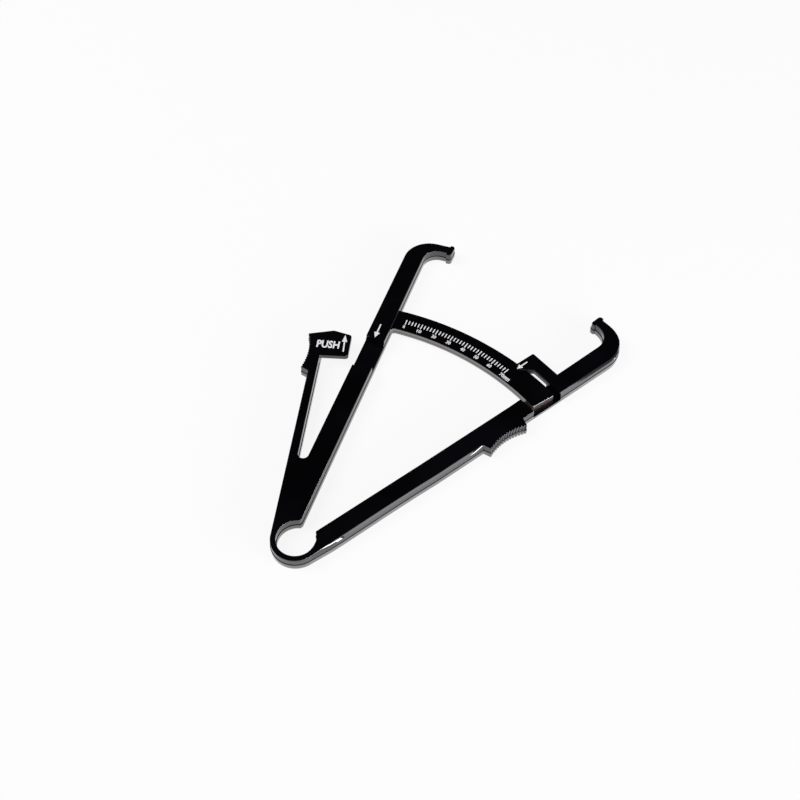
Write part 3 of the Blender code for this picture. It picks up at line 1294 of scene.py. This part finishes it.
    def draw_lever(self, pen: OutlinePen) -> None:
        """Draws the leaf, the thumb block and the way back to the ring.

        Args:
            pen: Pen at the start of this stretch.
        """
        lever = self.layout.lever
        inner = self.ring_outer - self.leaf_thickness
        outer = self.ring_outer
        crest = outer + self.block_rest_height
        corner = self.plate_start + (inner + self.plate_reach) * math.tan(self.plate_start_skew)
        pen.mark("leaf_root_inner")
        pen.line(lever.place(self.block_start, inner), self.leaf_steps)
        pen.mark("leaf_end_inner")
        rest_end = self.block_rest_start + self.rest_length
        pen.corners(lever, [
            Corner(self.plate_start, inner, self.plate_root_round),
            Corner(corner, -self.plate_reach, self.plate_round),
            Corner(self.plate_end, -self.plate_reach, self.plate_round),
            Corner(self.plate_crest, self.plate_crest_out, self.plate_crest_round),
            Corner(rest_end + self.crest_width, crest),
            Corner(rest_end, crest),
        ])
        rest_start = self.block_rest_start, crest
        self.draw_rest(pen, lever, (rest_end, crest), rest_start, self.block_rest_hollow)
        pen.corners(lever, [
            Corner(self.block_rest_start - self.crest_width, crest),
            Corner(self.block_start + self.block_heel, outer, self.soft_round),
            Corner(self.block_start, outer),
        ])
        pen.mark("leaf_end_outer")
        pen.line(lever.place(self.leaf_root(), outer), self.leaf_steps)
        pen.mark("leaf_root_outer")
        pen.line(lever.place(0, outer), self.leaf_foot_steps)
        pen.mark("ring_left_outer")

    def draw_right(self, pen: OutlinePen) -> None:
        """Draws the right arm from the ring round its jaw and flag to its root at the bore.

        Args:
            pen: Pen at the start of this stretch.
        """
        right = self.layout.right
        crest = self.right_outer + self.rest_height
        grip_end = self.grip_start + self.rest_length
        pen.corners(right, [
            *(Corner(along, out) for along, out in self.swell),
            Corner(self.grip_start - self.rest_spur - self.chamfer_stop, self.right_outer),
            Corner(self.grip_start - self.rest_spur, self.right_outer, self.soft_round),
            Corner(self.grip_start - self.crest_width, crest),
            Corner(self.grip_start, crest),
        ])
        self.draw_rest(pen, right, (self.grip_start, crest), (grip_end, crest), self.rest_hollow)
        far = self.channel_far + self.flag_width
        fore_start = self.channel_near - self.fore_lead
        share = (far - fore_start) / (self.right_jaw.length - self.right_jaw.width - fore_start)
        edge = self.right_inner + (self.right_fore_inner - self.right_inner) * share
        jaw = self.right_jaw.corners(self.lean, self.right_fore_inner, self.right_fore_outer)
        pen.corners(right, [
            Corner(grip_end + self.crest_width, crest),
            Corner(grip_end + self.rest_spur, self.right_shoulder_outer, self.soft_round),
            Corner(self.channel_near + self.channel_inset, self.right_shoulder_outer),
            Corner(self.channel_far - self.channel_inset, self.right_fore_outer),
            *reversed(jaw),
            Corner(far, edge),
        ])
        pen.mark("flag_far")
        length = -self.flag_length
        tip = self.channel_far - self.flag_tip_reach
        pen.corners(right, [
            Corner(far, length, self.flag_round),
            Corner(self.channel_far - self.flag_tab_corner, length, self.flag_tip_round),
            Corner(tip, length + self.flag_tip_back, self.flag_tip_round),
            Corner(self.channel_far, length + self.flag_tab_width, self.flag_round),
            Corner(self.channel_far, edge),
        ])
        pen.mark("flag_near")
        pen.corners(right, [
            Corner(fore_start, self.right_inner),
            Corner(self.right_taper, self.right_inner),
            Corner(self.bore - self.right_root_lead, self.right_root_inner),
        ])

    def outline(self) -> tuple[Mesh, dict[Part, int]]:
        """Draws the whole outline and divides it at the seams.

        Returns:
            The flat mesh and the value of each part in its face layer.
        """
        pivot = self.layout.pivot
        quarter = math.pi / 2
        left_root = math.asin(self.left_inner / self.bore) + self.root_turn
        right_root = math.asin(self.right_root_inner / self.bore) + self.root_turn
        start = self.bore * math.cos(left_root), self.bore * math.sin(left_root)
        back = self.bore * math.cos(right_root), self.bore * math.sin(right_root)
        pen = OutlinePen(self.layout.left.place(*start))
        self.draw_left(pen)
        self.draw_lever(pen)
        ring_turn = math.pi + quarter - 2 * self.half_opening - quarter - self.lever_angle
        pen.sweep(pivot, ring_turn, self.ring_steps)
        pen.mark("ring_right_outer")
        self.draw_right(pen)
        pen.line(self.layout.right.place(*back))
        pen.sweep(pivot, -(quarter - right_root), self.right_bore_steps)
        pen.mark("ring_right_inner")
        pen.sweep(pivot, -ring_turn, self.ring_steps)
        pen.mark("ring_left_inner")
        home = quarter + self.lever_angle - left_root
        pen.sweep(pivot, -home + self.join_slack, self.left_bore_steps)
        marks = {name: vert.co.copy() for name, vert in pen.marks.items()}
        mesh = pen.fill()
        seams = (
            ("ring_left_outer", "ring_left_inner"),
            ("ring_right_outer", "ring_right_inner"),
            ("leaf_root_outer", "leaf_root_inner"),
            ("leaf_end_outer", "leaf_end_inner"),
            ("flag_near", "flag_far"),
        )
        for ends in seams:
            verts = [min(mesh.verts, key=lambda v: (v.co - marks[end]).length) for end in ends]
            bmesh.ops.connect_vert_pair(mesh, verts=verts)
        codes = {part: index for index, part in enumerate(Part)}
        layer = mesh.faces.layers.int.new("part")
        for face in mesh.faces:
            face[layer] = codes[self.part_of(face.calc_center_bounds(), face.calc_area())]
        return mesh, codes

    def part_of(self, centre: Vector, area: float) -> Part:
        """Finds the part that a face of the outline belongs to.

        Args:
            centre: Centre of the face's bounding box, in metres.
            area: Its area, in square metres.

        Returns:
            The part.
        """
        left, right, lever = self.layout.left, self.layout.right, self.layout.lever
        middles = {
            Part.LEFT_ARM: left.place(80, 4),
            Part.RIGHT_ARM: right.place(80, 6),
            Part.HINGE_RING: self.layout.pivot,
            Part.PRESS_LEAF: lever.place(56, 7.5),
            Part.PRESS_BLOCK: lever.place(88, 2),
            Part.POINTER_FLAG: right.place(118, -4),
        }
        arms = (Part.LEFT_ARM, Part.RIGHT_ARM)
        is_arm = area > self.long_arm_area
        allowed = [part for part in middles if (part in arms) == is_arm]
        return min(allowed, key=lambda part: (centre.xy - Vector(middles[part])).length)

    def build(self) -> None:
        """Builds every piece of the moulding."""
        mesh, codes = self.outline()
        profile = WallProfile()
        profile.slab(mesh, self.bottom, self.top)
        self.chamfer_right(mesh, self.top - profile.chamfer)
        for part, code in codes.items():
            piece_mesh = mesh.copy()
            layer = piece_mesh.faces.layers.int["part"]
            others = [face for face in piece_mesh.faces if face[layer] != code]
            bmesh.ops.delete(piece_mesh, geom=others, context="FACES")
            rim = [edge for edge in piece_mesh.edges if edge.is_boundary]
            bmesh.ops.holes_fill(piece_mesh, edges=rim, sides=0)
            bmesh.ops.recalc_face_normals(piece_mesh, faces=piece_mesh.faces[:])
            name = f"{part.value}_moulding"
            self.pieces[part] = finish_mesh(name, piece_mesh, self.finishes.moulded)
        mesh.free()
        self.carve_recess()
        self.carve_channel()
        self.thin_plate()
        self.thin_flag()

    def chamfer_right(self, mesh: Mesh, start: float) -> None:
        """Draws the upper edge of the right arm's outer wall in to a chamfer.

        Args:
            mesh: Mesh of the whole moulding.
            start: Height at which the chamfer starts, in metres.
        """
        right = self.layout.right
        ahead, outward = right.ahead, right.outward
        rise = self.chamfer_rise
        plain = (
            self.grip_start - self.rest_spur - self.chamfer_stop / 2,
            (self.channel_near + self.channel_far) / 2,
        )
        for vert in mesh.verts:
            spot = (vert.co.xy - Vector(right.origin)) / MM
            along, out = spot.dot(ahead), spot.dot(outward)
            if vert.co.z > start and along > 0 and not plain[0] < along < plain[1]:
                share = (vert.co.z - start) / (self.top - start)
                run_in = min(1.0, along / self.chamfer_run_in)
                share *= run_in * min(1.0, max(0.0, out / rise - self.chamfer_from / rise))
                vert.co.xy -= outward * self.chamfer_width * share * MM

    def carve_recess(self) -> None:
        """Cuts the two-step recess that the block's plate swings into."""
        left = self.layout.left
        sides = (-self.cut_margin, self.left_outer + self.cut_margin)
        lower = [self.recess_start + side * math.tan(self.recess_start_skew) for side in sides]
        upper = [self.recess_end + side * math.tan(self.recess_end_skew) for side in sides]
        steps = ((self.ledge_depth, 0.0), (self.recess_depth, self.ledge_width))
        for depth, ledge in steps:
            spots = [
                left.place(lower[0], sides[0]),
                left.place(upper[0] - ledge, sides[0]),
                left.place(upper[1] - ledge, sides[1]),
                left.place(lower[1], sides[1]),
            ]
            cutter = prism_cutter(spots, self.top - depth * MM, self.top, self.rim_chamfer * MM)
            carve(self.pieces[Part.LEFT_ARM], cutter)

    def carve_channel(self) -> None:
        """Cuts the channel that the scale bar slides through."""
        right = self.layout.right
        outs = (-self.channel_margin, self.right_outer + self.channel_margin)
        spots = rectangle(right, (self.channel_near, self.channel_far), outs)
        cutter = prism_cutter(spots, self.channel_floor * MM, self.top, self.rim_chamfer * MM)
        carve(self.pieces[Part.RIGHT_ARM], cutter)

    def thin_plate(self) -> None:
        """Cuts the block's plate thin from below."""
        margin = self.cut_margin
        alongs = (self.plate_start - margin, self.plate_crest + margin)
        outs = (self.ring_outer - self.leaf_thickness, -self.plate_reach - margin)
        spots = rectangle(self.layout.lever, alongs, outs)
        floor = self.top - self.plate_thickness * MM
        cutter = prism_cutter(spots, floor, self.bottom, self.rim_chamfer * MM)
        carve(self.pieces[Part.PRESS_BLOCK], cutter)

    def thin_flag(self) -> None:
        """Cuts the flag's underside: all of it to a plate, and thinner where the bar slides."""
        right = self.layout.right
        margin = self.cut_margin
        near = self.channel_near
        far = self.channel_far + self.flag_width + margin
        spots = rectangle(right, (near, far), (self.flag_root, -self.flag_length - margin))
        body = self.top - self.flag_body_thickness * MM
        cutter = prism_cutter(spots, body, self.bottom, self.rim_chamfer * MM)
        carve(self.pieces[Part.POINTER_FLAG], cutter)
        angles = [math.radians(degrees) for degrees in self.passage_degrees]
        passage = [
            right.place(near - margin, self.flag_root),
            *(
                right.place(self.flag_clear * math.cos(angle), self.flag_clear * math.sin(angle))
                for angle in angles
            ),
            right.place(near - margin, -self.flag_length - 2 * margin),
        ]
        floor = self.top - self.flag_thickness * MM
        cutter = prism_cutter(passage, floor, body, self.passage_chamfer * MM)
        carve(self.pieces[Part.POINTER_FLAG], cutter)

    def fasten(self) -> None:
        """Puts the arm, flag and block pieces on their bodies and bakes the ring and the leaf
        where they stand.
        """
        ride = {
            Part.LEFT_ARM: Body.LEFT,
            Part.RIGHT_ARM: Body.RIGHT,
            Part.POINTER_FLAG: Body.RIGHT,
            Part.PRESS_BLOCK: Body.LEVER,
        }
        for part, body in ride.items():
            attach(self.pieces[part], body.value)
        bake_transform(self.pieces[Part.HINGE_RING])
        root = self.leaf_root()
        middle = self.ring_outer - self.leaf_thickness / 2
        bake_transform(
            self.pieces[Part.PRESS_LEAF],
            Body.LEFT.value,
            Body.LEVER.value,
            start=(*self.layout.lever.place(root + 0.3, middle), 0),
            end=(*self.layout.lever.place(root + 16, middle), 0),
        )
        for part, piece in self.pieces.items():
            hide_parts(part.value)
            LOG.info("%s: %d faces", piece.name, len(piece.data.polygons))


@dataclass
class ScaleBar:
    """The curved bar that carries the printed scale, in millimetres about the pivot."""

    layout: Layout
    finishes: Finishes
    inner: float = 106.0
    outer: float = 116.15
    end_swell: float = 0.35
    end_round: float = 0.7
    swell_start: float = math.radians(-20)
    bottom: float = 1.5 * MM
    top: float = BAR_TOP
    growth: float = 0.2 * MM
    end: float = math.radians(4.1)
    end_lead: float = 1.6
    half_opening: float = HALF_OPENING
    arm_inner: float = LEFT_INNER
    burial: float = 0.8
    flare: float = 1.8
    flare_knee: Point = (0.45, 0.75)
    outer_steps: int = 64
    inner_steps: int = 60

    def build(self) -> None:
        """Builds the bar from inside the left arm's wall to its free end."""
        left = self.layout.left
        pivot = self.layout.pivot
        buried = self.arm_inner + self.burial
        outer_start = math.asin(buried / self.outer)
        inner_start = -math.asin((self.flare - self.arm_inner) / self.inner)
        stop = -2 * self.half_opening - self.end
        pen = OutlinePen(left.place(self.outer * math.cos(outer_start), buried))
        for step in range(1, self.outer_steps):
            angle = outer_start + (stop - outer_start) * step / self.outer_steps
            share = max(0.0, (self.swell_start - angle) / (self.swell_start - stop))
            radius = self.outer + self.end_swell * share
            pen.line(left.place(radius * math.cos(angle), radius * math.sin(angle)))
        radius = self.outer + self.end_swell
        inner_stop = stop + self.end_lead * self.end_round / self.inner
        pen.corners(left, [
            Corner(radius * math.cos(stop), radius * math.sin(stop), self.end_round),
            Corner(self.inner * math.cos(stop), self.inner * math.sin(stop), self.end_round),
            Corner(self.inner * math.cos(inner_stop), self.inner * math.sin(inner_stop)),
        ])
        pen.sweep(pivot, inner_start - inner_stop, self.inner_steps)
        pen.corners(left, [
            Corner(self.inner - self.flare_knee[0], self.arm_inner - self.flare_knee[1]),
            Corner(self.inner - self.flare, self.arm_inner),
            Corner(self.inner - self.flare, buried),
        ])
        mesh = pen.fill()
        WallProfile(growth=self.growth, ledge=0.0).slab(mesh, self.bottom, self.top)
        piece = finish_mesh("scale_bar_moulding", mesh, self.finishes.bar)
        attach(piece, Body.LEFT.value)
        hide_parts("scale_bar")
        LOG.info("%s: %d faces", piece.name, len(piece.data.polygons))


@dataclass(frozen=True)
class Arrow:
    """A printed arrow, in millimetres in the frame of its body's arm.

    Attributes:
        name: Name of the piece.
        body: Body that it moves with.
        tail: Start of the shaft, along and out.
        tip: Point of the head, along and out.
        head: Length and width of the head.
        shaft: Width of the shaft.
    """

    name: str
    body: Body
    tail: Point
    tip: Point
    head: Point
    shaft: float


@dataclass
class Print:
    """White marks printed on the caliper, in millimetres."""

    layout: Layout
    finishes: Finishes
    arm_top: float = MOULDING_TOP
    bar_top: float = BAR_TOP
    film: float = 0.02 * MM
    pitch: float = math.radians(0.7154)
    first_tick: float = math.radians(104.72)
    tick_middle: float = 110.95
    tick_length: float = 2.1
    long_tick_length: float = 2.7
    tick_width: float = 0.44
    tick_count: int = 36
    long_every: int = 5
    long_overhang: float = 0.15
    tick_round: float = 0.16
    last_drop: float = 0.5
    drop_start: int = 20
    drop_ticks: int = 15
    numeral_middle: float = 108.15
    numeral_height: float = 1.7
    digit_pitch: float = 1.05
    digit_gap: float = 0.15
    unit_size: Point = (2.95, 1.5)
    unit_lead: float = 1.55
    unit_drop: float = 0.25
    push_size: Point = (9.3, 4.0)
    push_place: Point = (91.0, 3.35)
    letter_swell: float = 0.03
    letter_steps: int = 3
    arrows: tuple[Arrow, ...] = (
        Arrow("arm_arrow", Body.LEFT, (105.6, 5.5), (97.9, 5.45), (3.0, 2.4), 0.58),
        Arrow("block_arrow", Body.LEVER, (87.8, -3.3), (97.0, -2.9), (3.9, 2.15), 0.6),
        Arrow("flag_arrow", Body.RIGHT, (119.0, -10.2), (113.3, -10.05), (2.3, 2.3), 0.58),
    )

    def lowered(self, index: int) -> float:
        """Returns how much nearer the pivot than the first ticks a tick stands."""
        return self.last_drop * max(0.0, index - self.drop_start) / self.drop_ticks

    def ink_piece(self, name: str, mesh: Mesh, body: Body) -> None:
        """Makes a printed piece that moves with a body.

        Args:
            name: Name of the piece.
            mesh: Its mesh, freed here.
            body: The body.
        """
        bmesh.ops.recalc_face_normals(mesh, faces=mesh.faces[:])
        piece = finish_mesh(name, mesh, (self.finishes.ink,))
        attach(piece, body.value)
        LOG.info("%s: %d faces", name, len(piece.data.polygons))

    def tick(self, mesh: Mesh, middle: float, length: float) -> list:
        """Adds a tick that lies along +X from the pivot.

        Args:
            mesh: Mesh that takes the tick.
            middle: How far from the pivot its middle lies, in millimetres.
            length: Its length, in millimetres.

        Returns:
            Its vertices.
        """
        made = bmesh.ops.create_cube(mesh, size=1.0)["verts"]
        size = (length * MM, self.tick_width * MM, self.film * 2)
        bmesh.ops.scale(mesh, verts=made, vec=size)
        bmesh.ops.translate(mesh, verts=made, vec=(middle * MM, 0, 0))
        edges = {edge for vert in made for edge in vert.link_edges}
        upright = [edge for edge in edges if abs(edge.verts[0].co.z - edge.verts[1].co.z) > 1e-6]
        rounded = bmesh.ops.bevel(
            mesh,
            geom=upright,
            offset=self.tick_round * MM,
            offset_type="OFFSET",
            segments=2,
            profile=0.5,
            affect="EDGES",
            material=-1,
        )
        return list({*rounded["verts"], *(vert for vert in made if vert.is_valid)})

    def ticks(self) -> None:
        """Prints the millimetre ticks, one for every two millimetres."""
        mesh = bmesh.new()
        inner_end = self.tick_middle - self.tick_length / 2
        outer_end = self.tick_middle + self.tick_length / 2
        for index in range(self.tick_count):
            start, stop = inner_end, outer_end
            if index % self.long_every == 0:
                stop = outer_end + self.long_overhang
                start = stop - self.long_tick_length
            middle = (start + stop) / 2 - self.lowered(index)
            verts = self.tick(mesh, middle, stop - start)
            turn = Matrix.Rotation(self.first_tick - index * self.pitch, 3, "Z")
            bmesh.ops.rotate(mesh, verts=verts, cent=(0, 0, 0), matrix=turn)
        bmesh.ops.translate(mesh, verts=mesh.verts[:], vec=(*self.layout.pivot, self.bar_top))
        self.ink_piece("scale_ticks", mesh, Body.LEFT)

    def word(self, mesh: Mesh, text: str, size: Point, placing: Matrix) -> None:
        """Adds centred lettering of a given width and height.

        Args:
            mesh: Mesh that takes the letters.
            text: The lettering.
            size: Its width and the height of its capitals or digits, in millimetres.
            placing: Where its centre goes, with its top towards +Y.
        """
        curve = bpy.data.curves.new("lettering", "FONT")
        curve.body = text
        curve.offset = self.letter_swell
        curve.extrude = 0.5
        curve.resolution_u = self.letter_steps
        carrier = bpy.data.objects.new("lettering", curve)
        bpy.context.scene.collection.objects.link(carrier)
        graph = bpy.context.evaluated_depsgraph_get()
        data = bpy.data.meshes.new_from_object(carrier.evaluated_get(graph))
        bpy.data.objects.remove(carrier)
        bpy.data.curves.remove(curve)
        part = bmesh.new()
        part.from_mesh(data)
        bmesh.ops.remove_doubles(part, verts=part.verts[:], dist=1e-6)
        low = Vector(map(min, *(vert.co for vert in part.verts)))
        high = Vector(map(max, *(vert.co for vert in part.verts)))
        drawn = high - low
        bmesh.ops.translate(part, verts=part.verts[:], vec=-(low + high) / 2)
        scale = (size[0] * MM / drawn.x, size[1] * MM / drawn.y, 2 * self.film)
        bmesh.ops.scale(part, verts=part.verts[:], vec=scale)
        bmesh.ops.transform(part, matrix=placing, verts=part.verts[:])
        part.to_mesh(data)
        part.free()
        mesh.from_mesh(data)
        bpy.data.meshes.remove(data)

    def numerals(self) -> None:
        """Prints the numbers of the scale and its unit."""
        mesh = bmesh.new()
        for index in range(0, self.tick_count, self.long_every):
            number = str(index * 2)
            size = self.digit_pitch * len(number) - self.digit_gap, self.numeral_height
            angle = self.first_tick - index * self.pitch
            self.on_bar(mesh, number, size, angle, self.lowered(index))
        last = self.first_tick - (self.tick_count - 1) * self.pitch
        angle = last - (self.digit_pitch + self.unit_lead) / self.numeral_middle
        self.on_bar(mesh, "mm", self.unit_size, angle, self.last_drop + self.unit_drop)
        self.ink_piece("scale_numerals", mesh, Body.LEFT)

    def on_bar(self, mesh: Mesh, text: str, size: Point, angle: float, lowered: float) -> None:
        """Adds lettering on the bar, upright towards the jaws.

        Args:
            mesh: Mesh that takes the letters.
            text: The lettering.
            size: Its width and height, in millimetres.
            angle: Where it stands about the pivot, in radians.
            lowered: How much nearer the pivot it stands, in millimetres.
        """
        radius = (self.numeral_middle - lowered) * MM
        x = self.layout.pivot[0] + radius * math.cos(angle)
        y = self.layout.pivot[1] + radius * math.sin(angle)
        turn = Matrix.Rotation(angle - math.pi / 2, 4, "Z")
        self.word(mesh, text, size, Matrix.Translation((x, y, self.bar_top)) @ turn)

    def print_arrow(self, arrow: Arrow) -> None:
        """Prints an arrow.

        Args:
            arrow: The arrow.
        """
        frame = self.layout.frame(arrow.body)
        start = Vector(frame.place(*arrow.tail))
        goal = Vector(frame.place(*arrow.tip))
        ahead = (goal - start).normalized()
        across = Vector((-ahead.y, ahead.x))
        length, width = arrow.head
        neck = goal - ahead * length * MM
        pen = OutlinePen(tuple(start - across * arrow.shaft / 2 * MM))
        for spot in (
            neck - across * arrow.shaft / 2 * MM,
            neck - across * width / 2 * MM,
            goal,
            neck + across * width / 2 * MM,
            neck + across * arrow.shaft / 2 * MM,
            start + across * arrow.shaft / 2 * MM,
        ):
            pen.line(tuple(spot))
        mesh = pen.fill()
        raised = bmesh.ops.extrude_face_region(mesh, geom=mesh.faces[:])["geom"]
        verts = only(raised, bmesh.types.BMVert)
        bmesh.ops.translate(mesh, verts=verts, vec=(0, 0, 2 * self.film))
        bmesh.ops.translate(mesh, verts=mesh.verts[:], vec=(0, 0, self.arm_top - self.film))
        self.ink_piece(arrow.name, mesh, arrow.body)

    def build(self) -> None:
        """Prints every mark."""
        self.ticks()
        self.numerals()
        for arrow in self.arrows:
            self.print_arrow(arrow)
        mesh = bmesh.new()
        placing = self.layout.lever.matrix(*self.push_place, self.arm_top)
        self.word(mesh, "PUSH", self.push_size, placing)
        self.ink_piece("block_word", mesh, Body.LEVER)


@dataclass
class Stage:
    """White table, camera and soft light."""

    layout: Layout
    eye_from_pivot: Triple = (0.131864, -0.123088, 0.304120)
    yaw: float = math.radians(35.3196)
    tilt: float = math.radians(38.569)
    lens: float = 44.2333
    table_colour: Colour = (0.86, 0.86, 0.86)
    table_roughness: float = 0.7
    table_specular: float = 0.1
    table_glow: float = 0.9
    table_half: float = 3.0
    table_drop: float = 0.1 * MM
    surround: Colour = (0.02, 0.02, 0.022)

    def camera(self) -> None:
        """Sets the camera at the photograph's place."""
        data = bpy.data.cameras.new("camera")
        data.lens = self.lens
        data.sensor_width = 36.0
        data.clip_start = 0.01
        data.clip_end = 20.0
        camera = bpy.data.objects.new("camera", data)
        camera.location = Vector((*self.layout.pivot, 0.0)) + Vector(self.eye_from_pivot)
        camera.rotation_euler = (self.tilt, 0.0, self.yaw)
        bpy.context.scene.collection.objects.link(camera)
        bpy.context.scene.camera = camera

    def floor(self) -> None:
        """Lays the white table, which camera and gloss see white and which keeps the shadow."""
        mesh = bmesh.new()
        bmesh.ops.create_grid(mesh, x_segments=1, y_segments=1, size=self.table_half)
        material, sheet, shader = new_material("white_table")
        shader.inputs["Base Color"].default_value = (*self.table_colour, 1.0)
        shader.inputs["Roughness"].default_value = self.table_roughness
        shader.inputs["Specular IOR Level"].default_value = self.table_specular
        glow = sheet.add("ShaderNodeEmission")
        glow.inputs["Strength"].default_value = 1.0
        rays = sheet.add("ShaderNodeLightPath")
        camera, gloss = rays.outputs["Is Camera Ray"], rays.outputs["Is Glossy Ray"]
        seen = sheet.maths("MAXIMUM", camera, gloss)
        seen = sheet.maths("MAXIMUM", seen, rays.outputs["Is Transmission Ray"])
        share = sheet.maths("MULTIPLY", seen, self.table_glow)
        blend = sheet.add("ShaderNodeMixShader")
        sheet.join(share, blend.inputs[0])
        sheet.join(shader.outputs[0], blend.inputs[1])
        sheet.join(glow.outputs[0], blend.inputs[2])
        output = material.node_tree.nodes["Material Output"]
        sheet.join(blend.outputs[0], output.inputs["Surface"])
        data = bpy.data.meshes.new("table")
        mesh.to_mesh(data)
        mesh.free()
        data.materials.append(material)
        table = bpy.data.objects.new("table", data)
        table.location.z = -self.table_drop
        bpy.context.scene.collection.objects.link(table)

    def world(self) -> None:
        """Sets a dim surround, white only where the camera sees past the table."""
        world = bpy.data.worlds.new("surround")
        bpy.context.scene.world = world
        world.use_nodes = True
        sheet = NodeSheet(world.node_tree)
        background = world.node_tree.nodes["Background"]
        rays = sheet.add("ShaderNodeLightPath")
        tone = sheet.mix(rays.outputs["Is Camera Ray"], self.surround, (1.0, 1.0, 1.0))
        sheet.join(tone, background.inputs["Color"])
        background.inputs["Strength"].default_value = 1.0

    def lamp(
        self,
        name: str,
        place: Sequence[float],
        size: Point,
        power: float,
        mirrored: bool = True,
    ) -> None:
        """Hangs a soft light that faces the caliper.

        Args:
            name: Its name.
            place: Where it hangs, in metres.
            size: Its width and height, in metres.
            power: Its power, in watts.
            mirrored: Whether glossy surfaces show its image.
        """
        data = bpy.data.lights.new(name, "AREA")
        data.shape = "RECTANGLE"
        data.size, data.size_y = size
        data.energy = power
        lamp = bpy.data.objects.new(name, data)
        lamp.location = place
        lamp.visible_glossy = mirrored
        lamp.rotation_euler = Vector(place).to_track_quat("Z", "Y").to_euler()
        bpy.context.scene.collection.objects.link(lamp)

    def build(self) -> None:
        """Builds the stage."""
        self.camera()
        self.floor()
        self.world()
        self.lamp("key", (-0.95, -0.45, 1.1), (0.9, 0.9), 18.0, mirrored=False)
        self.lamp("fill", (1.11, 0.17, 0.59), (0.5, 0.5), 1.9)
        self.lamp("side", (1.3, -0.05, 0.2), (2.0, 0.4), 48.0)
        bpy.context.scene.view_settings.view_transform = "Standard"


def main() -> None:
    """Builds the dressed caliper and its stage."""
    logging.basicConfig(level=logging.INFO, format="%(name)s: %(message)s")
    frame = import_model()
    finishes = Finishes.make()
    layout = Layout.read(frame["joints"])
    moulding = Moulding(layout, finishes)
    moulding.build()
    moulding.fasten()
    ScaleBar(layout, finishes).build()
    Print(layout, finishes).build()
    Stage(layout).build()


if __name__ == "__main__":
    main()
